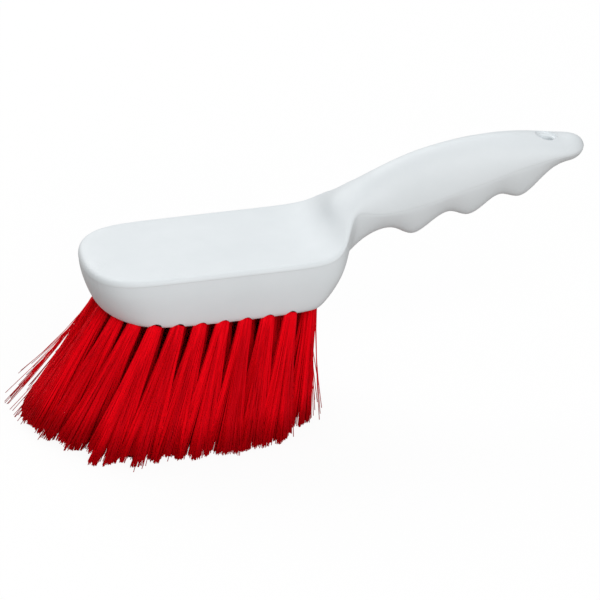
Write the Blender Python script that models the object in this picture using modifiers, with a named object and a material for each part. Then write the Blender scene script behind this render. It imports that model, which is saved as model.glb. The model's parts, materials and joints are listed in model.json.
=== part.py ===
"""Pot brush: a one-piece moulded block with a raised finger-grip handle, set with splayed bristle tufts.

The block lies along X with its round nose at -X and the handle at +X, and it is symmetric across Y = 0.
It stands on the cut ends of its bristles at Z = 0. All lengths are in metres.
"""

import math

import bmesh
import bpy
from mathutils import Matrix, Vector

# Head: the thick slab that carries the bristles
HEAD_LENGTH = 0.130
HEAD_WIDTH = 0.0685
HEAD_THICKNESS = 0.0293
NOSE_LIFT = 0.005
HEEL_LIFT = 0.003
HEEL_CORNER = 0.014
TOP_EDGE = 0.004
NOSE_EDGE = 0.0065
SHOULDER_EDGE = 0.008
PARTING_DROP = 0.0024
NOSE_PARTING_DROP = 0.0045
SIDE_DRAW_IN = 0.0033
NOSE_DRAW_IN = 0.0075
CORNER_DRAW_IN = 0.0045
HEEL_DRAW_IN = 0.011
HEEL_RUN = 0.012
BOTTOM_EDGE = 0.0015

# Handle: from the heel to its round tip, with heights above the top of the head
HANDLE_LENGTH = 0.123
GRIP_WIDTH = 0.027
TIP_RADIUS = 0.0115
HANDLE_RISE = 0.042
HOLE_DIAMETER = 0.007
HOLE_FROM_TIP = 0.0185

# Bristles: three rings of blind holes, each with a folded tuft
BRISTLE_REACH = 0.0587
TUFT_HOLE = 0.0066
TUFT_PITCH = 0.011
TUFT_HOLE_DEPTH = 0.013
TUFT_CLEARANCE = 0.00035
TUFT_RECESS = 0.001
TUFT_MARGIN = 0.002
HEEL_MARGIN = 0.0077
HEEL_ROUNDING = 0.0117
NOSE_LEAN = 0.0355
HEEL_LEAN = 0.002
HEEL_CORNER_LEAN = 0.011
TIP_TRIM = 0.003
STRAND_GAP = 0.00028
STRAND_WIDTH = 0.0021
CUT_OVERRUN = 0.004

# Counts
TUFTS_AT_HEEL = (4, 2, 0)
STRANDS = 8
BORE_SIDES = 16

# Shares, chosen by hand
ROW_SPACING_SHARE = 0.4
NOSE_SPLAY_SHARE = 1.12
SIDE_SPLAY_SHARE = 1.72
HEEL_SPLAY_SHARE = 1.30
NOSE_CURVE_SHARE = 1.8
HEEL_CURVE_SHARE = 0.5
LEAN_CURVE_SHARE = 1.3
FAN_SHARE = 0.43
TRIM_SHARES = (0.0, 0.6, 0.0, 1.0, 0.0, 0.35, 0.0, 0.8)
REACH_SHARES = (1.0, 0.62, 0.95, 0.7, 0.9, 0.66, 1.0, 0.58)

# Outline of the nose and the head's sides: turn of the nose, then places along the straight side
NOSE_TURN_SHARES = (0.0, 0.2, 0.4, 0.6, 0.8, 1.0)
SIDE_SHARES = (0.36, 0.72, 0.95)
NOSE_CENTRE_SHARE = 0.5
NOSE_FULL_SHARE = 0.955
NOSE_ROUND_SHARE = 0.78
LIFT_RUN_SHARE = 0.4
HEEL_START_SHARE = 0.79

# Shoulder: share of the head's length, half width as a share of the way from the head's to the grip's,
# height of the edge and of the crest as shares of the rise, and how far the section has become the handle's
SHOULDER_SHARES = (
    (0.930, 0.05, 0.035, 0.13, 0.0),
    (0.971, 0.21, 0.13, 0.24, 0.08),
    (1.001, 0.53, 0.27, 0.34, 0.35),
    (1.026, 0.83, 0.365, 0.43, 0.72),
)

# Handle: share of its length, half width over the grip's, then crest, ridge and keel as shares of the rise
HANDLE_SHARES = (
    (0.053, 1.03, 0.51, 0.34, -0.19),
    (0.101, 0.97, 0.60, 0.30, -0.08),
    (0.157, 0.96, 0.69, 0.27, 0.0),
    (0.222, 0.96, 0.775, 0.28, 0.01),
    (0.290, 0.98, 0.85, 0.315, -0.18),
    (0.366, 1.00, 0.91, 0.365, 0.02),
    (0.443, 1.00, 0.95, 0.43, 0.18),
    (0.515, 1.00, 0.98, 0.49, -0.01),
    (0.586, 0.99, 0.99, 0.54, 0.16),
    (0.652, 0.98, 0.995, 0.60, 0.325),
    (0.730, 0.96, 0.98, 0.66, 0.14),
    (0.805, 0.93, 0.945, 0.705, 0.375),
    (0.860, 0.90, 0.91, 0.735, 0.54),
)
TIP_TURN_SHARES = (0.0, 0.33, 0.67, 1.0)
TIP_SECTION_SHARES = (0.88, 0.74, 0.60)
TIP_CENTRE_SHARE = 0.4
TIP_FULL_SHARE = 1.1

# Sections from the bottom's middle to the top's middle.
# Head: share of the wall's draw-in and share of its thickness, for the points from bottom edge to parting
WALL_SHARES = ((0.62, 0.80), (0.27, 0.55), (0.06, 0.32))
FOOT_RISE_SHARE = 0.5
FOOT_INSET_SHARE = 2.0
RIM_SHARES = (0.12, 0.85)
CROWN_SHARE = 0.75
HEEL_TURN_SHARE = 0.84
RIM_TURN_SHARE = 0.33
# Handle: half width and depth below the ridge, then half width and height above it
FLANK_SHARES = (
    (0.0, 1.0),
    (0.26, 1.0),
    (0.49, 0.95),
    (0.65, 0.82),
    (0.78, 0.62),
    (0.89, 0.38),
    (0.975, 0.13),
)
DOME_SHARES = ((1.0, 0.0), (0.97, 0.31), (0.78, 0.69), (0.43, 0.93), (0.0, 1.02))

# Colours are linear, not sRGB
WHITE = (0.76, 0.79, 0.80, 1.0)
RED = (0.56, 0.004, 0.009, 1.0)


def new_collection(name: str) -> bpy.types.Collection:
    """Makes a collection under the scene's own."""
    collection = bpy.data.collections.new(name)
    bpy.context.scene.collection.children.link(collection)
    return collection


def plastic(name: str, colour: tuple, roughness: float) -> bpy.types.Material:
    """A plain plastic of one colour."""
    material = bpy.data.materials.new(name)
    material.use_nodes = True
    shader = material.node_tree.nodes["Principled BSDF"]
    shader.inputs["Base Color"].default_value = colour
    shader.inputs["Roughness"].default_value = roughness
    shader.inputs["Metallic"].default_value = 0.0
    return material


def add_object(name: str, mesh, collection, material, parent) -> bpy.types.Object:
    """Links a bmesh as one named object."""
    data = bpy.data.meshes.new(name)
    bmesh.ops.recalc_face_normals(mesh, faces=mesh.faces)
    mesh.to_mesh(data)
    mesh.free()
    made = bpy.data.objects.new(name, data)
    collection.objects.link(made)
    made.parent = parent
    if material:
        data.materials.append(material)
    return made


def mix(first: float, second: float, share: float) -> float:
    """The value a share of the way from the first to the second."""
    return first + (second - first) * share


def handle_section(edge: Vector, centre_x: float, crest: float, ridge: float, keel: float) -> list:
    """Points of the handle's half section, from the keel over the ridge to the crest.

    Below the ridge the flank is scooped for the fingers, and above it the section is a dome.
    """
    points = []
    for width, depth in FLANK_SHARES:
        points.append((width, mix(ridge, keel, depth)))
    for width, height in DOME_SHARES:
        points.append((width, mix(ridge, crest, height)))
    centre = Vector((centre_x, 0.0))
    section = []
    for width, z in points:
        place = centre.lerp(edge, width)
        section.append(Vector((place.x, place.y, z)))
    return section


def underside(x: float) -> float:
    """Height of the head's underside against its top: it lifts a little towards the nose and the heel."""
    run = HEAD_LENGTH * LIFT_RUN_SHARE
    forward = max(0.0, 1.0 - x / run)
    back = max(0.0, 1.0 - (HEAD_LENGTH - x) / run)
    return NOSE_LIFT * forward**2 + HEEL_LIFT * back**2 - HEAD_THICKNESS


def wall_run(x: float) -> float:
    """How far forward of its upper edge the wall's foot stands, at the heel."""
    start = HEAD_LENGTH * HEEL_START_SHARE
    return HEEL_RUN * min(1.0, max(0.0, (x - start) / (HEAD_LENGTH - start)))


def head_section(edge: Vector, centre_x: float, draw_in: float, rim_width: float, heights: tuple) -> list:
    """Points of the head's half section, from the bottom's middle round the wall to the top's middle.

    The foot of the wall stands in from the edge by its draw-in, and forward of it at the heel. The heights
    are those of the widest line, of the inner side of the rounded rim, and of the top's middle.
    """
    parting, top, crest = heights
    centre = Vector((centre_x, 0.0))
    inward = (centre - edge).normalized()
    come_in = inward * draw_in - Vector((wall_run(edge.x), 0.0))
    foot = edge + come_in
    low_centre = Vector((centre_x - wall_run(edge.x), 0.0))
    inner = foot + (low_centre - foot).normalized() * BOTTOM_EDGE * FOOT_INSET_SHARE
    section = [(place, underside(place.x)) for place in (low_centre, inner.lerp(low_centre, 0.5), inner)]
    section.append((foot, underside(foot.x) + BOTTOM_EDGE * FOOT_RISE_SHARE))
    for inset, depth in WALL_SHARES:
        section.append((edge + come_in * inset, underside(foot.x) * depth))
    rim = edge + inward * rim_width
    section.append((edge, parting))
    section.append((edge.lerp(rim, RIM_SHARES[0]), mix(parting, top, RIM_SHARES[1])))
    section.append((rim, top))
    section.append((rim.lerp(centre, 0.5), mix(top, crest, CROWN_SHARE)))
    section.append((centre, crest))
    return [Vector((place.x, place.y, z)) for place, z in section]


def block_sections() -> list:
    """Half sections of the block in order, from the nose to the tip of the handle."""
    half = HEAD_WIDTH / 2
    grip = GRIP_WIDTH / 2
    sections = []
    for share in NOSE_TURN_SHARES:
        turn = share * math.pi / 2
        forward = abs(math.cos(turn)) ** NOSE_ROUND_SHARE * NOSE_FULL_SHARE
        edge = Vector((half - half * forward, half * math.sin(turn) ** NOSE_ROUND_SHARE))
        centre_x = half * mix(NOSE_CENTRE_SHARE, 1.0, share)
        draw_in = mix(NOSE_DRAW_IN, SIDE_DRAW_IN, share) + CORNER_DRAW_IN * math.sin(share * math.pi)
        rim = mix(NOSE_EDGE, TOP_EDGE, share)
        drop = mix(NOSE_PARTING_DROP, PARTING_DROP, share)
        sections.append(head_section(edge, centre_x, draw_in, rim, (-drop, 0.0, 0.0)))
    corner_x = HEAD_LENGTH - HEEL_CORNER
    for share in SIDE_SHARES:
        x = mix(half, corner_x, share)
        heights = (-PARTING_DROP, 0.0, 0.0)
        sections.append(head_section(Vector((x, half)), x, SIDE_DRAW_IN, TOP_EDGE, heights))
    for along, narrowing, rise, crest_rise, blend in SHOULDER_SHARES:
        edge = Vector((HEAD_LENGTH * along, mix(half, grip, narrowing)))
        top = HANDLE_RISE * rise
        crest = HANDLE_RISE * crest_rise
        ridge = top - NOSE_PARTING_DROP
        draw_in = mix(SIDE_DRAW_IN, HEEL_DRAW_IN, min(1.0, narrowing / HEEL_TURN_SHARE))
        rim = mix(TOP_EDGE, SHOULDER_EDGE, min(1.0, narrowing / RIM_TURN_SHARE))
        drop = mix(PARTING_DROP, NOSE_PARTING_DROP, blend)
        slab = head_section(edge, edge.x - HEEL_CORNER * narrowing, draw_in, rim, (top - drop, top, crest))
        stem = handle_section(edge, edge.x, crest, ridge, mix(-HEAD_THICKNESS, -NOSE_PARTING_DROP, blend))
        sections.append([low.lerp(high, blend) for low, high in zip(slab, stem)])
    for along, width, crest, ridge, keel in HANDLE_SHARES:
        edge = Vector((HEAD_LENGTH + HANDLE_LENGTH * along, grip * width))
        heights = [HANDLE_RISE * share for share in (crest, ridge, keel)]
        sections.append(handle_section(edge, edge.x, *heights))
    tip_x = HEAD_LENGTH + HANDLE_LENGTH - TIP_RADIUS
    for share in TIP_TURN_SHARES:
        turn = share * math.pi / 2
        edge = Vector((tip_x + TIP_RADIUS * TIP_FULL_SHARE * math.sin(turn), TIP_RADIUS * math.cos(turn)))
        centre_x = tip_x + TIP_RADIUS * TIP_CENTRE_SHARE * share
        heights = [HANDLE_RISE * height for height in TIP_SECTION_SHARES]
        sections.append(handle_section(edge, centre_x, *heights))
    return sections


def make_block(collection, cutters, parent) -> bpy.types.Object:
    """The moulding: a half cage lofted through the sections, mirrored, smoothed and cut."""
    top = BRISTLE_REACH + HEAD_THICKNESS
    cage = bmesh.new()
    rows = []
    for section in block_sections():
        rows.append([cage.verts.new((point.x, max(point.y, 0.0), point.z + top)) for point in section])
    for row, following in zip(rows, rows[1:]):
        for column in range(len(row) - 1):
            cage.faces.new((row[column], following[column], following[column + 1], row[column + 1]))
    block = add_object("block", cage, collection, plastic("white_plastic", WHITE, 0.42), parent)
    mirror = block.modifiers.new("both_sides", "MIRROR")
    mirror.use_axis = (False, True, False)
    mirror.use_clip = True
    mirror.merge_threshold = 0.00001
    smooth = block.modifiers.new("soft_form", "SUBSURF")
    smooth.levels = 1
    smooth.render_levels = 1
    holes = block.modifiers.new("holes", "BOOLEAN")
    holes.operation = "DIFFERENCE"
    holes.solver = "EXACT"
    holes.operand_type = "COLLECTION"
    holes.collection = cutters
    block.data.shade_smooth()
    return block


def tuft_places() -> list:
    """Roots of the tufts on the bottom of the head, as (ring, number, place) for each.

    Each ring runs round the nose and along both sides, with as many tufts as its length has pitches.
    """
    half = HEAD_WIDTH / 2
    outer = half - SIDE_DRAW_IN - TUFT_MARGIN
    front = half - NOSE_DRAW_IN - TUFT_MARGIN
    heel = HEAD_LENGTH - HEEL_RUN - HEEL_MARGIN
    places = []
    for ring, across in enumerate(TUFTS_AT_HEEL):
        inset_share = ring * ROW_SPACING_SHARE
        wide = outer * (1.0 - inset_share)
        deep = front * (1.0 - inset_share)
        end = heel - outer * inset_share
        arc = (wide + deep) / 2 * math.pi / 2
        side_end = end - HEEL_ROUNDING * (1.0 - inset_share)
        length = arc + side_end - half
        along = max(1, round(length / TUFT_PITCH + 0.5))
        pitch = length / (along - 0.5)
        side = []
        for number in range(along):
            run = pitch * (number + 0.5)
            if run < arc:
                turn = run / arc * math.pi / 2
                pull = 1.0 - CORNER_DRAW_IN / half * math.sin(2 * turn)
                side.append(Vector((half - deep * math.cos(turn) * pull, wide * math.sin(turn) * pull)))
            else:
                side.append(Vector((half + run - arc, wide)))
        row = []
        for number in range(across):
            share = (number + 0.5) / across
            row.append(Vector((end, mix(wide, -wide, share))))
        around = side + row + [Vector((place.x, -place.y)) for place in reversed(side)]
        places += [(ring, number, place) for number, place in enumerate(around)]
    return places


def splay(x: float) -> float:
    """How much wider the bristles stand on the ground than in the head, which is least at both ends."""
    half = HEAD_WIDTH / 2
    first = NOSE_DRAW_IN + TUFT_MARGIN
    last = HEAD_LENGTH - HEEL_RUN - HEEL_MARGIN
    from_nose = min(1.0, max(0.0, (x - first) / (half - first)))
    from_heel = min(1.0, max(0.0, (last - x) / half))
    front = mix(NOSE_SPLAY_SHARE, SIDE_SPLAY_SHARE, from_nose**NOSE_CURVE_SHARE)
    return mix(HEEL_SPLAY_SHARE, front, from_heel**HEEL_CURVE_SHARE)


def tuft_end(root: Vector) -> Vector:
    """Where a tuft's middle strand meets the ground: it leans to the nose, and splays to the sides."""
    first = NOSE_DRAW_IN + TUFT_MARGIN
    last = HEAD_LENGTH - HEEL_RUN - HEEL_MARGIN
    forward = max(0.0, (last - root.x) / (last - first))
    sideways = abs(root.y) / (HEAD_WIDTH / 2 - SIDE_DRAW_IN - TUFT_MARGIN)
    lean = mix(mix(HEEL_LEAN, HEEL_CORNER_LEAN, sideways**2), NOSE_LEAN, forward**LEAN_CURVE_SHARE)
    return Vector((root.x - lean, root.y * splay(root.x)))


def prism(radius: float, bottom: Vector, top: Vector) -> bmesh.types.BMesh:
    """A bar between two points, with one side for each strand."""
    bar = bmesh.new()
    axis = top - bottom
    turn = axis.to_track_quat("Z", "Y").to_matrix().to_4x4()
    place = Matrix.Translation((bottom + top) / 2) @ turn
    bmesh.ops.create_cone(
        bar,
        cap_ends=True,
        segments=STRANDS,
        radius1=radius,
        radius2=radius,
        depth=axis.length,
        matrix=place,
    )
    return bar


def tuft_axis(root: Vector) -> tuple:
    """The mouth of a tuft's hole, and the direction up along its axis."""
    end = tuft_end(root)
    mouth = Vector((root.x, root.y, BRISTLE_REACH + HEAD_THICKNESS + underside(root.x)))
    return mouth, (mouth - Vector((end.x, end.y, 0.0))).normalized()


def make_tuft(name: str, root: Vector, spacing: float, collection, material, parent) -> bpy.types.Object:
    """One tuft: a root that sits in its hole, and strands that fan out of it down to the ground.

    The strands grow from the wedges of the root's end, each along its own spoke, so none crosses another.
    """
    mouth, up = tuft_axis(root)
    radius = TUFT_HOLE / 2 - TUFT_CLEARANCE
    bar = prism(radius, mouth + up * TUFT_RECESS, mouth + up * (TUFT_HOLE_DEPTH - TUFT_CLEARANCE))
    bar.faces.ensure_lookup_table()
    face = min(bar.faces, key=lambda item: item.calc_center_median().z)
    wedges = bmesh.ops.poke(bar, faces=[face])["faces"]
    bmesh.ops.inset_individual(bar, faces=wedges, thickness=STRAND_GAP)
    strands = bmesh.ops.extrude_discrete_faces(bar, faces=wedges)["faces"]
    end = tuft_end(root)
    middle = sum((strand.calc_center_median() for strand in strands), Vector()) / len(strands)
    growth_x = tuft_end(root + Vector((spacing / 2, 0.0))).x - tuft_end(root - Vector((spacing / 2, 0.0))).x
    room = min(spacing, 2 * abs(root.y))
    reach = Vector((growth_x * FAN_SHARE, room * splay(root.x) * FAN_SHARE))
    ordered = sorted(strands, key=lambda item: spoke_angle(item.calc_center_median() - middle, root.y))
    for strand, trim, share in zip(ordered, TRIM_SHARES, REACH_SHARES):
        start = strand.calc_center_median()
        spoke = (start - middle).xy.normalized()
        fan = spoke * reach * share
        goal = Vector((end.x + fan.x, end.y + fan.y, trim * TIP_TRIM))
        size = max((vert.co - start).length for vert in strand.verts)
        for vert in strand.verts:
            offset = (vert.co - start).xy * (STRAND_WIDTH / (2 * size))
            vert.co = goal + Vector((offset.x, offset.y, 0.0))
    return add_object(name, bar, collection, material, parent)


def spoke_angle(spoke: Vector, side: float) -> float:
    """The spoke's angle, counted the mirrored way round on the other side, so that both sides match."""
    return math.atan2(math.copysign(1.0, side) * spoke.y, spoke.x)


def main() -> None:
    """Clears the scene and builds the brush."""
    for item in list(bpy.data.objects):
        bpy.data.objects.remove(item, do_unlink=True)
    parts = new_collection("pot_brush")
    cutters = new_collection("cutters")
    cutters.hide_render = True
    root = bpy.data.objects.new("brush_origin", None)
    parts.objects.link(root)

    hole_x = HEAD_LENGTH + HANDLE_LENGTH - HOLE_FROM_TIP
    middle = BRISTLE_REACH + HEAD_THICKNESS + HANDLE_RISE * TIP_SECTION_SHARES[1]
    bore = bmesh.new()
    bmesh.ops.create_cone(
        bore,
        cap_ends=True,
        segments=BORE_SIDES,
        radius1=HOLE_DIAMETER / 2,
        radius2=HOLE_DIAMETER / 2,
        depth=HANDLE_RISE + HEAD_THICKNESS,
        matrix=Matrix.Translation((hole_x, 0.0, middle)),
    )
    made = [add_object("hanging_hole_cutter", bore, cutters, None, root)]
    red = plastic("red_filament", RED, 0.5)
    outer = HEAD_WIDTH / 2 - SIDE_DRAW_IN - TUFT_MARGIN
    for ring, number, place in tuft_places():
        name = f"tuft_{ring + 1}_{number + 1:02d}"
        mouth, up = tuft_axis(place)
        drill = prism(TUFT_HOLE / 2, mouth - up * CUT_OVERRUN, mouth + up * TUFT_HOLE_DEPTH)
        made.append(add_object(f"{name}_cutter", drill, cutters, None, root))
        make_tuft(name, place, outer * ROW_SPACING_SHARE, parts, red, root)
    for cutter in made:
        cutter.hide_render = True
        cutter.display_type = "WIRE"
    make_block(parts, cutters, root)
    centre_on_origin(root, parts)


def centre_on_origin(root: bpy.types.Object, parts: bpy.types.Collection) -> None:
    """Moves the brush along X so that the middle of its length is at the origin."""
    bpy.context.view_layer.update()
    graph = bpy.context.evaluated_depsgraph_get()
    xs = []
    for item in parts.objects:
        if item.type == "MESH":
            shape = item.evaluated_get(graph)
            xs += [(shape.matrix_world @ Vector(corner)).x for corner in shape.bound_box]
    root.location.x = -(min(xs) + max(xs)) / 2


main()
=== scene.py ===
"""Dresses the pot brush: a white moulded block with a finger-grip handle, and fans of red filament.

The block lies along X with its round nose at -X, and the brush stands on its bristle tips at Z = 0.
"""

import json
import logging
import math
import random
from dataclasses import dataclass, field
from enum import Enum

import bmesh
import bpy
from mathutils import Matrix, Vector

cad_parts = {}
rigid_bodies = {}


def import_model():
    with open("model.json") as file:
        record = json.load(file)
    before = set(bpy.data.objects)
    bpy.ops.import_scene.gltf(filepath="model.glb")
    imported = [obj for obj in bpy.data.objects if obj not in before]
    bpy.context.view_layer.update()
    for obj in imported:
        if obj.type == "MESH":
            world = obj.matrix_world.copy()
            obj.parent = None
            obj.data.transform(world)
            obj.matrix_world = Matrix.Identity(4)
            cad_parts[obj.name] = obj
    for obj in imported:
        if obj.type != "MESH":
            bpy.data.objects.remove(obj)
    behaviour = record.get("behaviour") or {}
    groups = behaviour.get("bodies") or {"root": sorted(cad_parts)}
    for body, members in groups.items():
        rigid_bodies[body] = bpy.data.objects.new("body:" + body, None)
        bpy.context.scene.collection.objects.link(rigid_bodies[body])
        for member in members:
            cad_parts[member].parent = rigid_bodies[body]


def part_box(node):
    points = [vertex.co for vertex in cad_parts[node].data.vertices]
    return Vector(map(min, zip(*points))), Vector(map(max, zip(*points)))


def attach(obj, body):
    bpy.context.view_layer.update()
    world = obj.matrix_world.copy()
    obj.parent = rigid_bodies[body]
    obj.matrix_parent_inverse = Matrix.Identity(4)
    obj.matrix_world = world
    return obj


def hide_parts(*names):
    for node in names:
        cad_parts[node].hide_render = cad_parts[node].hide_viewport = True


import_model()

MM = 0.001
# Corners nearer than this are one
WELD = 0.001 * MM
# Degrees between two faces past which their shading doesn't blend
CREASE_ANGLE = 38
log = logging.getLogger("pot_brush")


def linear(code: str) -> tuple[float, float, float, float]:
    """Turns an sRGB colour into a linear one.

    Args:
        code: Six hex digits, as RRGGBB.

    Returns:
        Red, green, blue and an alpha of 1, in linear light.
    """
    parts = [int(code[place : place + 2], 16) / 255 for place in (0, 2, 4)]
    lit = [part / 12.92 if part <= 0.04045 else ((part + 0.055) / 1.055) ** 2.4 for part in parts]
    return (*lit, 1.0)


def mix(first: float, second: float, share: float) -> float:
    """The value a share of the way from the first to the second."""
    return first + (second - first) * share


def add_node(tree: bpy.types.NodeTree, kind: str, settings: dict, links: dict) -> bpy.types.Node:
    """Adds one node to a tree.

    Args:
        tree: The material's or the world's node tree.
        kind: The node's type name.
        settings: Values by socket name or number, or by property name where no socket has it.
        links: Sockets of other nodes to link, by this node's socket name or number.

    Returns:
        The new node.
    """
    node = tree.nodes.new(kind)
    for name, value in settings.items():
        if isinstance(name, str) and name in node.bl_rna.properties:
            setattr(node, name, value)
    for name, value in settings.items():
        if isinstance(name, int) or name not in node.bl_rna.properties:
            node.inputs[name].default_value = value
    for name, socket in links.items():
        tree.links.new(socket, node.inputs[name])
    return node


def new_material(name: str) -> tuple[bpy.types.Material, bpy.types.Node]:
    """Makes an empty node material.

    Args:
        name: The material's name.

    Returns:
        The material and its Principled shader, which its output shows.
    """
    material = bpy.data.materials.new(name)
    material.use_nodes = True
    material.node_tree.nodes.clear()
    shader = add_node(material.node_tree, "ShaderNodeBsdfPrincipled", {}, {})
    add_node(material.node_tree, "ShaderNodeOutputMaterial", {}, {"Surface": shader.outputs[0]})
    return material, shader


class Smoothing(Enum):
    """How a finished mesh is shaded."""

    ROUND = "all faces blend"
    CREASED = "faces blend except across the rims of holes"


def finish_piece(
    name: str, mesh: bmesh.types.BMesh, material: bpy.types.Material, smoothing: Smoothing
) -> bpy.types.Object:
    """Turns a bmesh into a piece at the origin.

    Args:
        name: The piece's name.
        mesh: The shape, in the frame's place. It is freed.
        material: Its finish.
        smoothing: How its faces are shaded.

    Returns:
        The linked object.
    """
    data = bpy.data.meshes.new(name)
    mesh.to_mesh(data)
    mesh.free()
    data.materials.append(material)
    data.polygons.foreach_set("use_smooth", [True] * len(data.polygons))
    if smoothing is Smoothing.CREASED:
        data.set_sharp_from_angle(angle=math.radians(CREASE_ANGLE))
    piece = bpy.data.objects.new(name, data)
    bpy.context.scene.collection.objects.link(piece)
    return piece


@dataclass(frozen=True)
class MouldedPolypropylene:
    """White polypropylene, injection moulded: satin, faintly waxy, with soft flow streaks near the gate."""

    name: str = "white_polypropylene_satin"
    colour: str = "E5EAED"
    shadow_tint: str = "DBE1E4"
    roughness: float = 0.52
    polish: tuple = (-0.04, 0.06)
    gloss: float = 0.32
    ior: float = 1.49
    mottle: float = 26 * MM
    mottle_range: tuple = (0.3, 0.7)
    grain: float = 0.9 * MM
    grain_share: float = 0.16
    streak: float = 1.3 * MM
    streak_stretch: float = 0.04
    streak_share: float = 12.0
    streak_core: float = 4 * MM
    streak_reach: float = 14 * MM
    relief_strength: float = 0.22
    relief_depth: float = 0.12 * MM

    def build(self, streak_centre: Vector) -> bpy.types.Material:
        """Makes the material.

        Args:
            streak_centre: Middle of the flow streaks on the nose.

        Returns:
            The finished material.
        """
        material, shader = new_material(self.name)
        tree = material.node_tree
        place = add_node(tree, "ShaderNodeTexCoord", {}, {}).outputs["Object"]
        mottle = add_node(
            tree,
            "ShaderNodeTexNoise",
            {"Scale": 1 / self.mottle, "Detail": 3.0, "Roughness": 0.6},
            {"Vector": place},
        )
        tint = add_node(
            tree,
            "ShaderNodeMix",
            {"data_type": "RGBA", 6: linear(self.colour), 7: linear(self.shadow_tint)},
            {0: mottle.outputs["Fac"]},
        )
        tree.links.new(tint.outputs[2], shader.inputs["Base Color"])

        # The sheen of the mould's polish comes and goes over a few millimetres
        polish = add_node(
            tree,
            "ShaderNodeMapRange",
            {
                "From Min": self.mottle_range[0],
                "From Max": self.mottle_range[1],
                "To Min": self.roughness + self.polish[0],
                "To Max": self.roughness + self.polish[1],
            },
            {"Value": mottle.outputs["Fac"]},
        )
        tree.links.new(polish.outputs[0], shader.inputs["Roughness"])
        shader.inputs["IOR"].default_value = self.ior
        shader.inputs["Specular IOR Level"].default_value = self.gloss

        # Fine spark-eroded grain, drawn a little coarser than the real one so that it shows
        grain = add_node(
            tree,
            "ShaderNodeTexNoise",
            {"Scale": 1 / self.grain, "Detail": 2.0, "Roughness": 0.5},
            {"Vector": place},
        )

        # Flow streaks run down the nose, so the pattern is stretched along Z and kept to one spot
        stretched = add_node(
            tree,
            "ShaderNodeMapping",
            {"vector_type": "POINT", "Scale": (1.0, 1.0, self.streak_stretch)},
            {"Vector": place},
        )
        streaks = add_node(
            tree,
            "ShaderNodeTexNoise",
            {"Scale": 1 / self.streak, "Detail": 1.0},
            {"Vector": stretched.outputs[0]},
        )
        away = add_node(
            tree,
            "ShaderNodeVectorMath",
            {"operation": "DISTANCE", 1: tuple(streak_centre)},
            {0: place},
        )
        spot = add_node(
            tree,
            "ShaderNodeMapRange",
            {
                "From Min": self.streak_core,
                "From Max": self.streak_reach,
                "To Min": 1.0,
                "To Max": 0.0,
                "interpolation_type": "SMOOTHSTEP",
            },
            {"Value": away.outputs["Value"]},
        )
        kept = add_node(
            tree, "ShaderNodeMath", {"operation": "MULTIPLY", 1: self.streak_share}, {0: spot.outputs[0]}
        )
        local = add_node(
            tree,
            "ShaderNodeMath",
            {"operation": "MULTIPLY"},
            {0: streaks.outputs["Fac"], 1: kept.outputs[0]},
        )
        rise = add_node(
            tree,
            "ShaderNodeMath",
            {"operation": "MULTIPLY_ADD", 1: self.grain_share},
            {0: grain.outputs["Fac"], 2: local.outputs[0]},
        )
        relief = add_node(
            tree,
            "ShaderNodeBump",
            {"Strength": self.relief_strength, "Distance": self.relief_depth},
            {"Height": rise.outputs[0]},
        )
        tree.links.new(relief.outputs[0], shader.inputs["Normal"])
        return material


@dataclass(frozen=True)
class PolyesterFilament:
    """Red polyester filament, extruded and cut: deep colour through and through, with a low sheen."""

    name: str = "red_polyester_filament"
    colour: str = "FF0118"
    deep_colour: str = "90000E"
    roughness: float = 0.6
    ior: float = 1.57
    gloss: float = 0.04
    wave: float = 9 * MM
    wave_share: float = 0.07

    def build(self) -> bpy.types.Material:
        """Makes the material, whose colour varies from filament to filament.

        Returns:
            The finished material.
        """
        material, shader = new_material(self.name)
        tree = material.node_tree
        place = add_node(tree, "ShaderNodeTexCoord", {}, {}).outputs["Object"]
        shade = add_node(tree, "ShaderNodeAttribute", {"attribute_name": "shade"}, {})
        drift = add_node(
            tree, "ShaderNodeTexNoise", {"Scale": 1 / self.wave, "Detail": 1.0}, {"Vector": place}
        )
        both = add_node(
            tree,
            "ShaderNodeMath",
            {"operation": "MULTIPLY_ADD", 1: self.wave_share, "use_clamp": True},
            {0: drift.outputs["Fac"], 2: shade.outputs["Fac"]},
        )
        tint = add_node(
            tree,
            "ShaderNodeMix",
            {"data_type": "RGBA", 6: linear(self.colour), 7: linear(self.deep_colour)},
            {0: both.outputs[0]},
        )
        tree.links.new(tint.outputs[2], shader.inputs["Base Color"])
        shader.inputs["Roughness"].default_value = self.roughness
        shader.inputs["IOR"].default_value = self.ior
        shader.inputs["Specular IOR Level"].default_value = self.gloss
        return material


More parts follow.
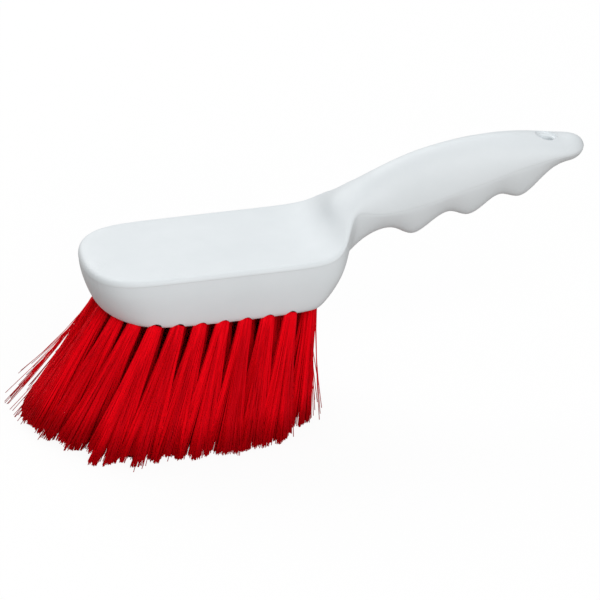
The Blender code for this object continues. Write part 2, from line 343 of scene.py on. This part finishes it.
@dataclass
class BrushBlock:
    """The moulding: a thick head, a swept shoulder and neck, and a handle with finger bumps.

    Lengths are in metres. Along X they count from the nose, and up Z from the top of the head.
    """

    head_length: float = 130 * MM
    head_width: float = 68.5 * MM
    head_thickness: float = 29.3 * MM
    nose_lift: float = 5 * MM
    heel_lift: float = 3 * MM
    heel_corner: float = 14 * MM
    top_edge: float = 4 * MM
    nose_edge: float = 6.5 * MM
    shoulder_edge: float = 8 * MM
    parting_drop: float = 2.4 * MM
    nose_parting_drop: float = 4.5 * MM
    side_draw_in: float = 3.3 * MM
    nose_draw_in: float = 7.5 * MM
    corner_draw_in: float = 4.5 * MM
    heel_draw_in: float = 11 * MM
    heel_run: float = 12 * MM
    bottom_edge: float = 1.5 * MM
    ledge: float = 0.22 * MM
    handle_length: float = 123 * MM
    grip_width: float = 27 * MM
    tip_radius: float = 11.5 * MM
    handle_rise: float = 42 * MM
    hole_diameter: float = 7 * MM
    hole_rim: float = 1.6 * MM
    hole_from_tip: float = 18.5 * MM
    top_height: float = 88 * MM
    streak_back: float = 6 * MM
    streak_side: float = -11 * MM
    streak_down: float = 6 * MM
    shift: float = 0.0

    NOSE_TURNS = (0.0, 0.2, 0.4, 0.6, 0.8, 1.0)
    SIDES = (0.36, 0.72, 0.95)
    NOSE_CENTRE = 0.5
    NOSE_FULL = 0.955
    NOSE_ROUND = 0.78
    LIFT_RUN = 0.4
    HEEL_START = 0.79
    HEEL_TURN = 0.84
    RIM_TURN = 0.33
    # Share of the head's length, narrowing, rise of the edge, rise of the crest, and blend into the handle
    SHOULDER = (
        (0.930, 0.05, 0.035, 0.13, 0.0),
        (0.971, 0.21, 0.13, 0.24, 0.08),
        (1.001, 0.53, 0.27, 0.34, 0.35),
        (1.026, 0.83, 0.365, 0.43, 0.72),
    )
    # Share of the handle's length, half width, then crest, ridge and keel over the rise
    HANDLE = (
        (0.053, 1.03, 0.51, 0.34, -0.19),
        (0.101, 0.97, 0.60, 0.30, -0.08),
        (0.157, 0.96, 0.69, 0.27, 0.0),
        (0.222, 0.96, 0.775, 0.28, 0.01),
        (0.290, 0.98, 0.85, 0.315, -0.18),
        (0.366, 1.00, 0.91, 0.365, 0.02),
        (0.443, 1.00, 0.95, 0.43, 0.18),
        (0.515, 1.00, 0.98, 0.49, -0.01),
        (0.586, 0.99, 0.99, 0.54, 0.16),
        (0.652, 0.98, 0.995, 0.60, 0.325),
        (0.730, 0.96, 0.98, 0.66, 0.14),
        (0.805, 0.93, 0.945, 0.705, 0.375),
        (0.860, 0.90, 0.91, 0.735, 0.54),
    )
    TIP_TURNS = (0.0, 0.33, 0.67, 1.0)
    TIP_SECTION = (0.88, 0.74, 0.60)
    TIP_CENTRE = 0.4
    TIP_FULL = 1.1
    # The handle's top at the hanging hole: share of its rise, slope along X, and bend across, per metre
    HOLE_TOP = 0.888
    HOLE_SLOPE = -0.217
    HOLE_BEND = 16.0
    HOLE_STEPS = 40
    FLARE_STEPS = 6
    FLARE_ANGLE = 80
    # How far the hole's cutter goes out and over the surface, in rims
    CUTTER_OUT = 3
    CUTTER_OVER = 4
    # Where the top's rim and its crown bend: share of the way in, then of the way up
    RIM_BEND = (0.12, 0.85)
    CROWN_BEND = (0.5, 0.75)
    # Height of the step at the parting line, and the least half width that carries it, in ledges
    LEDGE_FALL = 3
    LEDGE_LEAST = 4
    # Share of the draw-in and of the thickness, for three places up the wall
    WALL = ((0.62, 0.80), (0.27, 0.55), (0.06, 0.32))
    FLANK = ((0.0, 1.0), (0.26, 1.0), (0.49, 0.95), (0.65, 0.82), (0.78, 0.62), (0.89, 0.38), (0.975, 0.13))
    DOME = ((1.0, 0.0), (0.97, 0.31), (0.78, 0.69), (0.43, 0.93), (0.0, 1.02))
    SEAM_WELD = 0.01 * MM
    SMOOTH_LEVELS = 3

    def underside(self, x: float) -> float:
        """Height of the head's underside against its top at a place along it."""
        run = self.head_length * self.LIFT_RUN
        forward = max(0.0, 1.0 - x / run)
        back = max(0.0, 1.0 - (self.head_length - x) / run)
        return self.nose_lift * forward**2 + self.heel_lift * back**2 - self.head_thickness

    def wall_run(self, x: float) -> float:
        """How far forward of its upper edge the wall's foot stands, at a place along the head."""
        start = self.head_length * self.HEEL_START
        return self.heel_run * min(1.0, max(0.0, (x - start) / (self.head_length - start)))

    def streak_centre(self) -> Vector:
        """Where the flow streaks run down the nose."""
        return Vector((self.shift + self.streak_back, self.streak_side, self.top_height - self.streak_down))

    def head_section(
        self,
        edge: Vector,
        centre_x: float,
        draw_in: float,
        rim_width: float,
        heights: tuple[float, float, float],
    ) -> list[Vector]:
        """Works out the head's half section.

        Args:
            edge: Where the section meets the outline at its widest.
            centre_x: Where the section ends on the middle line.
            draw_in: How far the wall comes in at its foot.
            rim_width: Width of the rounding at the top's edge.
            heights: Heights of the widest line, of the rounding's inner side and of the top's middle.

        Returns:
            Points from the bottom's middle round the wall to the top's middle.
        """
        parting, top, crest = heights
        centre = Vector((centre_x, 0.0))
        inward = (centre - edge).normalized()
        come_in = inward * draw_in - Vector((self.wall_run(edge.x), 0.0))
        foot = edge + come_in
        low_centre = Vector((centre_x - self.wall_run(edge.x), 0.0))
        inner = foot + (low_centre - foot).normalized() * self.bottom_edge * 2
        flat = (low_centre, inner.lerp(low_centre, 0.5), inner)
        section = [(place, self.underside(place.x)) for place in flat]
        section.append((foot, self.underside(foot.x) + self.bottom_edge / 2))
        for inset, depth in self.WALL:
            section.append((edge + come_in * inset, self.underside(foot.x) * depth))
        section.append((edge + inward * self.ledge, parting - self.ledge * self.LEDGE_FALL))
        section.append((edge + inward * self.ledge, parting - self.ledge))
        rim = edge + inward * rim_width
        section.append((edge, parting))
        section.append((edge.lerp(rim, self.RIM_BEND[0]), mix(parting, top, self.RIM_BEND[1])))
        section.append((rim, top))
        section.append((rim.lerp(centre, self.CROWN_BEND[0]), mix(top, crest, self.CROWN_BEND[1])))
        section.append((centre, crest))
        return [Vector((place.x, place.y, z)) for place, z in section]

    def handle_section(
        self, edge: Vector, centre_x: float, crest: float, ridge: float, keel: float
    ) -> list[Vector]:
        """Works out the handle's half section, scooped below its ridge and domed above it.

        Args:
            edge: Where the section meets the outline at its widest.
            centre_x: Where the section ends on the middle line.
            crest: Height of the top.
            ridge: Height of the widest line.
            keel: Height of the underside.

        Returns:
            Points from the keel over the ridge to the crest.
        """
        points = [(width, mix(ridge, keel, depth)) for width, depth in self.FLANK]
        step = 1.0 - self.ledge / max(edge.y, self.ledge * self.LEDGE_LEAST)
        points.append((step, ridge - self.ledge * self.LEDGE_FALL))
        points.append((step, ridge - self.ledge))
        points += [(width, mix(ridge, crest, height)) for width, height in self.DOME]
        centre = Vector((centre_x, 0.0))
        places = [(centre.lerp(edge, width), z) for width, z in points]
        return [Vector((place.x, place.y, z)) for place, z in places]

    def sections(self) -> list[list[Vector]]:
        """Half sections of the block in order, from the nose to the tip of the handle."""
        half = self.head_width / 2
        grip = self.grip_width / 2
        made = []
        for share in self.NOSE_TURNS:
            turn = share * math.pi / 2
            forward = abs(math.cos(turn)) ** self.NOSE_ROUND * self.NOSE_FULL
            edge = Vector((half - half * forward, half * math.sin(turn) ** self.NOSE_ROUND))
            draw_in = mix(self.nose_draw_in, self.side_draw_in, share)
            draw_in += self.corner_draw_in * math.sin(share * math.pi)
            rim = mix(self.nose_edge, self.top_edge, share)
            centre_x = half * mix(self.NOSE_CENTRE, 1.0, share)
            drop = mix(self.nose_parting_drop, self.parting_drop, share)
            made.append(self.head_section(edge, centre_x, draw_in, rim, (-drop, 0.0, 0.0)))
        for share in self.SIDES:
            x = mix(half, self.head_length - self.heel_corner, share)
            edge = Vector((x, half))
            heights = (-self.parting_drop, 0.0, 0.0)
            made.append(self.head_section(edge, x, self.side_draw_in, self.top_edge, heights))
        for along, narrowing, rise, crest_rise, blend in self.SHOULDER:
            edge = Vector((self.head_length * along, mix(half, grip, narrowing)))
            top = self.handle_rise * rise
            crest = self.handle_rise * crest_rise
            draw_in = mix(self.side_draw_in, self.heel_draw_in, min(1.0, narrowing / self.HEEL_TURN))
            rim = mix(self.top_edge, self.shoulder_edge, min(1.0, narrowing / self.RIM_TURN))
            centre_x = edge.x - self.heel_corner * narrowing
            drop = mix(self.parting_drop, self.nose_parting_drop, blend)
            slab = self.head_section(edge, centre_x, draw_in, rim, (top - drop, top, crest))
            keel = mix(-self.head_thickness, -self.nose_parting_drop, blend)
            stem = self.handle_section(edge, edge.x, crest, top - self.nose_parting_drop, keel)
            made.append([low.lerp(high, blend) for low, high in zip(slab, stem)])
        for along, width, crest, ridge, keel in self.HANDLE:
            edge = Vector((self.head_length + self.handle_length * along, grip * width))
            heights = [self.handle_rise * share for share in (crest, ridge, keel)]
            made.append(self.handle_section(edge, edge.x, *heights))
        tip_x = self.head_length + self.handle_length - self.tip_radius
        for share in self.TIP_TURNS:
            turn = share * math.pi / 2
            forward = self.tip_radius * self.TIP_FULL * math.sin(turn)
            edge = Vector((tip_x + forward, max(0.0, self.tip_radius * math.cos(turn))))
            centre_x = tip_x + self.tip_radius * self.TIP_CENTRE * share
            heights = [self.handle_rise * height for height in self.TIP_SECTION]
            made.append(self.handle_section(edge, centre_x, *heights))
        return made

    def loft(self) -> bmesh.types.BMesh:
        """Extrudes the first section's chain of edges through the others, and mirrors the half.

        Returns:
            The closed cage of the block, before it is smoothed.
        """
        rows = self.sections()
        cage = bmesh.new()
        order = cage.verts.layers.int.new("order")
        chain = []
        for number, point in enumerate(rows[0]):
            vert = cage.verts.new(point)
            vert[order] = number
            chain.append(vert)
        edges = [cage.edges.new(pair) for pair in zip(chain, chain[1:])]
        for row in rows[1:]:
            made = bmesh.ops.extrude_edge_only(cage, edges=edges)["geom"]
            for vert in (item for item in made if isinstance(item, bmesh.types.BMVert)):
                vert.co = row[vert[order]]
            edges = [item for item in made if isinstance(item, bmesh.types.BMEdge)]
        for vert in cage.verts:
            vert.co.y = max(vert.co.y, 0.0)
        half = cage.verts[:] + cage.edges[:] + cage.faces[:]
        bmesh.ops.mirror(cage, geom=half, axis="Y", merge_dist=self.SEAM_WELD)
        bmesh.ops.remove_doubles(cage, verts=cage.verts, dist=self.SEAM_WELD)
        bmesh.ops.recalc_face_normals(cage, faces=cage.faces)
        bmesh.ops.translate(cage, verts=cage.verts, vec=(0.0, 0.0, self.top_height))
        return cage

    def hanging_hole(self) -> bmesh.types.BMesh:
        """A cutter for the hanging hole: an upright bar whose flared end follows the handle's top.

        Returns:
            The cutter's closed mesh.
        """
        x = self.head_length + self.handle_length - self.hole_from_tip + self.shift
        crest = self.top_height + self.handle_rise * self.HOLE_TOP
        radius = self.hole_diameter / 2
        bar = bmesh.new()
        profile = [(0.0, self.top_height), (radius, self.top_height)]
        profile += self.flare(crest, radius)
        over = crest + self.hole_rim * self.CUTTER_OVER
        profile += [(radius + self.hole_rim * self.CUTTER_OUT, over), (0.0, over)]
        chain = [bar.verts.new((x + out, 0.0, z)) for out, z in profile]
        edges = [bar.edges.new(pair) for pair in zip(chain, chain[1:])]
        bmesh.ops.spin(
            bar,
            geom=chain + edges,
            cent=(x, 0.0, 0.0),
            axis=(0.0, 0.0, 1.0),
            angle=math.tau,
            steps=self.HOLE_STEPS,
            use_merge=True,
            use_duplicate=False,
        )
        bmesh.ops.remove_doubles(bar, verts=bar.verts, dist=WELD)
        for vert in bar.verts:
            vert.co.z += self.HOLE_SLOPE * (vert.co.x - x) - self.HOLE_BEND * vert.co.y**2
        bmesh.ops.recalc_face_normals(bar, faces=bar.faces)
        return bar

    def flare(self, surface: float, radius: float) -> list[tuple[float, float]]:
        """Profile of a rounded rim, from the bore out to the surface above it.

        Args:
            surface: Height of the surface that the bore meets.
            radius: Radius of the bore.

        Returns:
            Pairs of radius and height, from the bore outwards.
        """
        made = []
        for step in range(self.FLARE_STEPS + 1):
            turn = step / self.FLARE_STEPS * math.radians(self.FLARE_ANGLE)
            out = radius + self.hole_rim * (1 - math.cos(turn))
            made.append((out, surface - self.hole_rim * (1 - math.sin(turn))))
        return made

    def build(self, material: bpy.types.Material, drills: list[bmesh.types.BMesh]) -> bpy.types.Object:
        """Smooths the cage, drills it and dresses it.

        Args:
            material: The moulding's finish.
            drills: Cutters for the tufts' blind holes, which are freed.

        Returns:
            The finished block.
        """
        cage = self.loft()
        bmesh.ops.translate(cage, verts=cage.verts, vec=(self.shift, 0.0, 0.0))
        rough = finish_piece("block_form", cage, material, Smoothing.ROUND)
        smooth = rough.modifiers.new("soft_form", "SUBSURF")
        smooth.levels = smooth.render_levels = self.SMOOTH_LEVELS
        cutters = bpy.data.collections.new("cutters")
        bpy.context.scene.collection.children.link(cutters)
        for number, drill in enumerate([*drills, self.hanging_hole()]):
            data = bpy.data.meshes.new(f"cutter_{number}")
            drill.to_mesh(data)
            drill.free()
            cutters.objects.link(bpy.data.objects.new(f"cutter_{number}", data))
        holes = rough.modifiers.new("holes", "BOOLEAN")
        holes.operation = "DIFFERENCE"
        holes.solver = "EXACT"
        holes.operand_type = "COLLECTION"
        holes.collection = cutters
        bpy.context.view_layer.update()
        graph = bpy.context.evaluated_depsgraph_get()
        shape = bmesh.new()
        shape.from_mesh(rough.evaluated_get(graph).to_mesh())
        for item in [rough, *cutters.objects]:
            data = item.data
            bpy.data.objects.remove(item, do_unlink=True)
            bpy.data.meshes.remove(data)
        bpy.data.collections.remove(cutters)
        return finish_piece("moulded_block", shape, material, Smoothing.CREASED)


@dataclass
class Tuft:
    """One tuft: where it leaves the head, where its middle meets the ground, and how its ends lie there."""

    name: str
    mouth: Vector
    up: Vector
    end: Vector
    outward: Vector
    rise: float


@dataclass
class BristleField:
    """All the tufts: three rings of blind holes, each with a folded tuft that fans out of it."""

    block: BrushBlock
    per_side: tuple = (10, 8, 6)
    at_heel: tuple = (4, 2, 0)
    hole: float = 6.6 * MM
    hole_depth: float = 13 * MM
    drill_over: float = 4 * MM
    margin: float = 2.0 * MM
    heel_margin: float = 7.7 * MM
    heel_cut: float = 11.7 * MM
    nose_lean: float = 35.5 * MM
    heel_lean: float = 2 * MM
    heel_corner_lean: float = 11 * MM
    fan_along: float = 10.5 * MM
    fan_across: float = 11.5 * MM
    wire: float = 0.46 * MM
    ragged: float = 2.6 * MM
    clump_cut: float = 5.5 * MM
    nose_rise: float = 4 * MM
    wander: float = 0.7 * MM
    relax: float = 0.35 * MM
    play: float = 0.1 * MM
    sunk: float = 2 * MM
    stray: float = 6 * MM
    filaments: int = 560
    seed: int = 11
    tufts: list = field(default_factory=list)

    # Step from ring to ring, as a share of the outer ring's half width
    ROW_SPACING = 0.4
    # How much wider the bristles stand on the ground than in the head, and how that changes along it
    NOSE_SPLAY = 1.12
    SIDE_SPLAY = 1.72
    HEEL_SPLAY = 1.30
    NOSE_CURVE = 1.8
    HEEL_CURVE = 0.5
    LEAN_CURVE = 1.3
    DRILL_SIDES = 20
    WIRE_SIDES = 3
    # Shares of a filament's way, from inside the hole to its cut end, where it may bend
    STEPS = (0.0, 0.06, 0.25, 0.5, 0.75, 1.0)
    FAN_CURVE = 1.4
    CURVE_SPREAD = 0.12
    PLACE_SHAKE = 0.25
    # Filaments cling together towards their ends, and each clump is worn to its own length
    CLUMPS = 16
    CLUMP_PULL = 0.65
    CLUMP_LEAST = 0.35
    CLUMP_WEAR = 2
    RAGGED_WEAR = 2.2
    # At the rim of the brush a few filaments spring loose, and the others are held in
    OUTWARD_HOLD = 0.55
    LOOSE = 0.07
    LOOSE_FROM = 0.6
    LOOSE_CURVE = 2.4
    STRAY_LIFT = 1.6
    HEEL_STRAY = 0.15
    # How dark the filaments are, from 0 to 1
    TONE_SPREAD = 0.12
    LOOSE_TONE = 0.3

    def splay(self, x: float) -> float:
        """How much wider the bristles stand on the ground than in the head, at a place along it."""
        half = self.block.head_width / 2
        first = self.block.nose_draw_in + self.margin
        last = self.block.head_length - self.block.heel_run - self.heel_margin
        from_nose = min(1.0, max(0.0, (x - first) / (half - first)))
        from_heel = min(1.0, max(0.0, (last - x) / half))
        front = mix(self.NOSE_SPLAY, self.SIDE_SPLAY, from_nose**self.NOSE_CURVE)
        return mix(self.HEEL_SPLAY, front, from_heel**self.HEEL_CURVE)

    def end_of(self, root: Vector) -> Vector:
        """Where the middle of the tuft at a root meets the ground."""
        first = self.block.nose_draw_in + self.margin
        last = self.block.head_length - self.block.heel_run - self.heel_margin
        forward = max(0.0, (last - root.x) / (last - first))
        sideways = abs(root.y) / (self.block.head_width / 2 - self.block.side_draw_in - self.margin)
        heel_lean = mix(self.heel_lean, self.heel_corner_lean, sideways**2)
        lean = mix(heel_lean, self.nose_lean, forward**self.LEAN_CURVE)
        return Vector((root.x - lean, root.y * self.splay(root.x), 0.0))

    def roots(self) -> list[tuple[int, int, Vector]]:
        """Places of the holes, as ring, number and place along and across the head."""
        half = self.block.head_width / 2
        outer = half - self.block.side_draw_in - self.margin
        front = half - self.block.nose_draw_in - self.margin
        heel = self.block.head_length - self.block.heel_run - self.heel_margin
        made = []
        for ring, (along, across) in enumerate(zip(self.per_side, self.at_heel)):
            inset = ring * self.ROW_SPACING
            wide = outer * (1.0 - inset)
            deep = front * (1.0 - inset)
            end = heel - outer * inset
            arc = (wide + deep) / 2 * math.pi / 2
            side_end = end - self.heel_cut * (1.0 - inset)
            pitch = (arc + side_end - half) / (along - 0.5)
            side = []
            for number in range(along):
                run = pitch * (number + 0.5)
                turn = run / arc * math.pi / 2
                if run < arc:
                    pull = 1.0 - self.block.corner_draw_in / half * math.sin(2 * turn)
                    side.append(Vector((half - deep * math.cos(turn) * pull, wide * math.sin(turn) * pull)))
                else:
                    side.append(Vector((half + run - arc, wide)))
            row = [Vector((end, mix(wide, -wide, (number + 0.5) / across))) for number in range(across)]
            around = side + row + [Vector((place.x, -place.y)) for place in reversed(side)]
            made += [(ring, number, place) for number, place in enumerate(around)]
        return made

    def lay_out(self) -> None:
        """Works out every tuft from the block's sizes."""
        shift = Vector((self.block.shift, 0.0, 0.0))
        for ring, number, root in self.roots():
            height = self.block.top_height + self.block.underside(root.x)
            mouth = Vector((root.x, root.y, height))
            end = self.end_of(root)
            spine = Vector((min(max(end.x, 0.0), self.block.head_length / 2), 0.0, 0.0))
            outward = (end - spine).normalized() if ring == 0 else Vector()
            self.tufts.append(
                Tuft(
                    name=f"tuft_{ring + 1}_{number + 1:02d}",
                    mouth=mouth + shift,
                    up=(mouth - end).normalized(),
                    end=end + shift,
                    outward=outward,
                    rise=self.nose_rise * max(0.0, -end.x / self.nose_lean) ** 2,
                )
            )

    def drills(self) -> list[bmesh.types.BMesh]:
        """Cutters for the blind holes, one leaning bar for each tuft."""
        made = []
        for tuft in self.tufts:
            low = tuft.mouth - tuft.up * self.drill_over
            high = tuft.mouth + tuft.up * self.hole_depth
            turn = tuft.up.to_track_quat("Z", "Y").to_matrix().to_4x4()
            bar = bmesh.new()
            bmesh.ops.create_cone(
                bar,
                cap_ends=True,
                segments=self.DRILL_SIDES,
                radius1=self.hole / 2,
                radius2=self.hole / 2,
                depth=(high - low).length,
                matrix=Matrix.Translation((low + high) / 2) @ turn,
            )
            made.append(bar)
        return made

    def spread(self, rng: random.Random) -> list[Vector]:
        """Even places over a unit disc, a little shaken.

        Args:
            rng: The source of chance.

        Returns:
            One place for each filament.
        """
        golden = math.pi * (3 - math.sqrt(5))
        made = []
        for number in range(self.filaments):
            out = math.sqrt((number + 0.5) / self.filaments)
            turn = number * golden + rng.uniform(-self.PLACE_SHAKE, self.PLACE_SHAKE)
            made.append(Vector((out * math.cos(turn), out * math.sin(turn), 0.0)))
        return made

    def paths(self, tuft: Tuft, rng: random.Random) -> list[tuple[list[Vector], float]]:
        """Works out the way and the tone of each filament, from inside the hole to its cut end.

        Args:
            tuft: The tuft.
            rng: The source of chance.

        Returns:
            For each filament its points from the top down, and how dark it is, from 0 to 1.
        """
        side = tuft.up.cross(Vector((0.0, 1.0, 0.0))).normalized() * -1
        across = tuft.up.cross(side).normalized()
        packed = self.hole / 2 - self.wire / 2 - self.play
        places = self.spread(rng)
        clumps = [
            (rng.choice(places), self.clump_cut * rng.random() ** self.CLUMP_WEAR) for _ in range(self.CLUMPS)
        ]
        stray = self.stray * mix(1.0, self.HEEL_STRAY, max(0.0, tuft.outward.x))
        made = []
        for place in places:
            clump, clump_cut = min(clumps, key=lambda item: (item[0] - place).length)
            drawn = place.lerp(clump, self.CLUMP_PULL * mix(self.CLUMP_LEAST, 1.0, rng.random()))
            shake = Vector((rng.gauss(0, self.wander), rng.gauss(0, self.wander), 0.0))
            fan = Vector((drawn.x * self.fan_along, drawn.y * self.fan_across, 0.0)) + shake
            beyond = fan.dot(tuft.outward)
            tone = rng.random() * self.TONE_SPREAD
            spring = Vector()
            cut = clump_cut + tuft.rise + self.ragged * rng.random() ** self.RAGGED_WEAR
            if beyond > self.fan_along * self.LOOSE_FROM and rng.random() < self.LOOSE:
                sprung = rng.random()
                spring = tuft.outward * stray * sprung
                cut += self.stray * self.STRAY_LIFT * sprung
                tone = self.LOOSE_TONE
            elif beyond > 0:
                fan -= tuft.outward * beyond * self.OUTWARD_HOLD
            top = tuft.mouth + tuft.up * self.sunk
            foot = Vector((tuft.end.x, tuft.end.y, cut))
            narrow = (side * place.x + across * place.y) * packed
            curve = self.FAN_CURVE + rng.uniform(-self.CURVE_SPREAD, self.CURVE_SPREAD)
            way = []
            for share in self.STEPS:
                swell = 1.0 + self.relax / packed * min(1.0, share / self.STEPS[1])
                open_way = (narrow * swell).lerp(fan, share**curve)
                way.append(top.lerp(foot, share) + open_way + spring * share**self.LOOSE_CURVE)
            way[-1].z = cut
            made.append((way, tone))
        return made

    def build(self, material: bpy.types.Material) -> list[bpy.types.Object]:
        """Grows every tuft.

        Args:
            material: The filament's finish.

        Returns:
            One piece for each tuft, in the order of the holes.
        """
        made = []
        for number, tuft in enumerate(self.tufts):
            rng = random.Random(self.seed + number)
            made.append(self.grow(tuft, self.paths(tuft, rng), material))
        return made

    def grow(
        self, tuft: Tuft, filaments: list[tuple[list[Vector], float]], material: bpy.types.Material
    ) -> bpy.types.Object:
        """Draws one tuft's filaments along their ways.

        Args:
            tuft: The tuft.
            filaments: For each filament its points from the top down, and its tone.
            material: The filament's finish.

        Returns:
            The finished tuft.
        """
        bundle = bmesh.new()
        index = bundle.faces.layers.int.new("filament")
        shade = bundle.verts.layers.float.new("shade")
        ends = []
        corners = [
            Vector((math.cos(turn), math.sin(turn), 0.0)) * self.wire / 2
            for turn in (math.tau * corner / self.WIRE_SIDES for corner in range(self.WIRE_SIDES))
        ]
        for number, (way, tone) in enumerate(filaments):
            ring = [bundle.verts.new(way[0] + corner) for corner in corners]
            for vert in ring:
                vert[shade] = tone
            face = bundle.faces.new(ring)
            face[index] = number
            ends.append(face)
        bmesh.ops.duplicate(bundle, geom=ends)
        for step in range(1, len(self.STEPS)):
            grown = bmesh.ops.extrude_discrete_faces(bundle, faces=ends)["faces"]
            for face in grown:
                way = filaments[face[index]][0]
                shift = way[step] - way[step - 1]
                for vert in face.verts:
                    vert.co += shift
            ends = grown
        bmesh.ops.remove_doubles(bundle, verts=bundle.verts, dist=WELD)
        bmesh.ops.recalc_face_normals(bundle, faces=bundle.faces)
        return finish_piece(f"filaments_{tuft.name}", bundle, material, Smoothing.ROUND)


@dataclass
class Studio:
    """A plain pale floor, soft lamps and the long lens that took the photograph."""

    shift: float
    target_along: float = 110.85 * MM
    target_up: float = 51.4 * MM
    azimuth: float = -14.33
    elevation: float = 27.0
    distance: float = 3.0
    view_width: float = 0.29297
    sensor: float = 36.0
    floor_size: float = 12.0
    lamp_size: float = 1.6
    room_level: float = 0.40
    floor_glow: float = 0.93
    floor_bounce: str = "A8A4A1"
    floor_seen: str = "FAFAFA"
    light: str = "FFFFFF"

    # Name, power and place of each lamp
    LAMPS = (
        ("front_lamp", 26.5, (0.12, -1.64, 1.22)),
        ("back_lamp", 23.5, (-0.45, 1.50, 1.28)),
    )

    def floor(self) -> bpy.types.Object:
        """Lays the floor, which looks white to the camera and still takes the shadow."""
        material = bpy.data.materials.new("pale_floor")
        material.use_nodes = True
        tree = material.node_tree
        tree.nodes.clear()
        path = add_node(tree, "ShaderNodeLightPath", {}, {})
        pale = add_node(
            tree,
            "ShaderNodeMix",
            {"data_type": "RGBA", 6: linear(self.floor_bounce), 7: linear(self.floor_seen)},
            {0: path.outputs["Is Camera Ray"]},
        )
        matt = add_node(tree, "ShaderNodeBsdfDiffuse", {}, {"Color": pale.outputs[2]})
        glow = add_node(tree, "ShaderNodeEmission", {"Color": linear(self.light), "Strength": 1.0}, {})
        share = add_node(
            tree,
            "ShaderNodeMath",
            {"operation": "MULTIPLY", 1: self.floor_glow},
            {0: path.outputs["Is Camera Ray"]},
        )
        both = add_node(
            tree, "ShaderNodeMixShader", {}, {0: share.outputs[0], 1: matt.outputs[0], 2: glow.outputs[0]}
        )
        add_node(tree, "ShaderNodeOutputMaterial", {}, {"Surface": both.outputs[0]})
        sheet = bmesh.new()
        bmesh.ops.create_grid(sheet, x_segments=2, y_segments=2, size=self.floor_size / 2)
        return finish_piece("studio_floor", sheet, material, Smoothing.ROUND)

    def lamps(self) -> None:
        """Hangs two wide soft lamps, one above the camera and one behind the brush."""
        for name, power, spot in self.LAMPS:
            place = Vector(spot)
            lamp = bpy.data.lights.new(name, "AREA")
            lamp.energy = power
            lamp.size = self.lamp_size
            item = bpy.data.objects.new(name, lamp)
            item.matrix_world = Matrix.Translation(place) @ place.to_track_quat("Z", "Y").to_matrix().to_4x4()
            bpy.context.scene.collection.objects.link(item)

    def sky(self) -> None:
        """Fills the room with plain white light, and shows the camera pure white."""
        world = bpy.data.worlds.new("white_room")
        bpy.context.scene.world = world
        world.use_nodes = True
        tree = world.node_tree
        tree.nodes.clear()
        white = linear(self.light)
        fill = add_node(tree, "ShaderNodeBackground", {"Color": white, "Strength": self.room_level}, {})
        seen = add_node(tree, "ShaderNodeBackground", {"Color": white, "Strength": 1.0}, {})
        path = add_node(tree, "ShaderNodeLightPath", {}, {})
        both = add_node(
            tree,
            "ShaderNodeMixShader",
            {},
            {0: path.outputs["Is Camera Ray"], 1: fill.outputs[0], 2: seen.outputs[0]},
        )
        add_node(tree, "ShaderNodeOutputWorld", {}, {"Surface": both.outputs[0]})

    def camera(self) -> None:
        """Sets the long lens at the photograph's angle."""
        lens = bpy.data.cameras.new("long_lens")
        lens.sensor_width = self.sensor
        lens.lens = self.sensor * self.distance / self.view_width
        lens.clip_end = self.distance * 10
        turn = math.radians(self.azimuth)
        lift = math.radians(self.elevation)
        away = Vector((math.sin(turn) * math.cos(lift), -math.cos(turn) * math.cos(lift), math.sin(lift)))
        item = bpy.data.objects.new("long_lens", lens)
        target = Vector((self.shift + self.target_along, 0.0, self.target_up))
        place = target + away * self.distance
        item.matrix_world = Matrix.Translation(place) @ away.to_track_quat("Z", "Y").to_matrix().to_4x4()
        bpy.context.scene.collection.objects.link(item)
        bpy.context.scene.camera = item


def main() -> None:
    """Builds the brush and its studio."""
    logging.basicConfig(level=logging.INFO, format="%(message)s")
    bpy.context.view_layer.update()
    bpy.context.scene.view_settings.view_transform = "Standard"

    block = BrushBlock()
    probe = block.loft()
    xs = [vert.co.x for vert in probe.verts]
    probe.free()
    low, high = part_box("block")
    block.shift = (low.x + high.x) / 2 - (min(xs) + max(xs)) / 2
    bristles = BristleField(block)
    bristles.lay_out()

    white = MouldedPolypropylene().build(block.streak_centre())
    moulding = block.build(white, bristles.drills())
    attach(moulding, "root")
    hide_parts("block")
    log.info("block: %d faces", len(moulding.data.polygons))

    red = PolyesterFilament().build()
    for tuft, piece in zip(bristles.tufts, bristles.build(red)):
        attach(piece, "root")
        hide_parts(tuft.name)
    log.info("tufts: %d of %d filaments", len(bristles.tufts), bristles.filaments)

    studio = Studio(shift=block.shift)
    studio.floor()
    studio.lamps()
    studio.sky()
    studio.camera()
    log.info("studio: floor, lamps and camera")


if __name__ == "__main__":
    main()
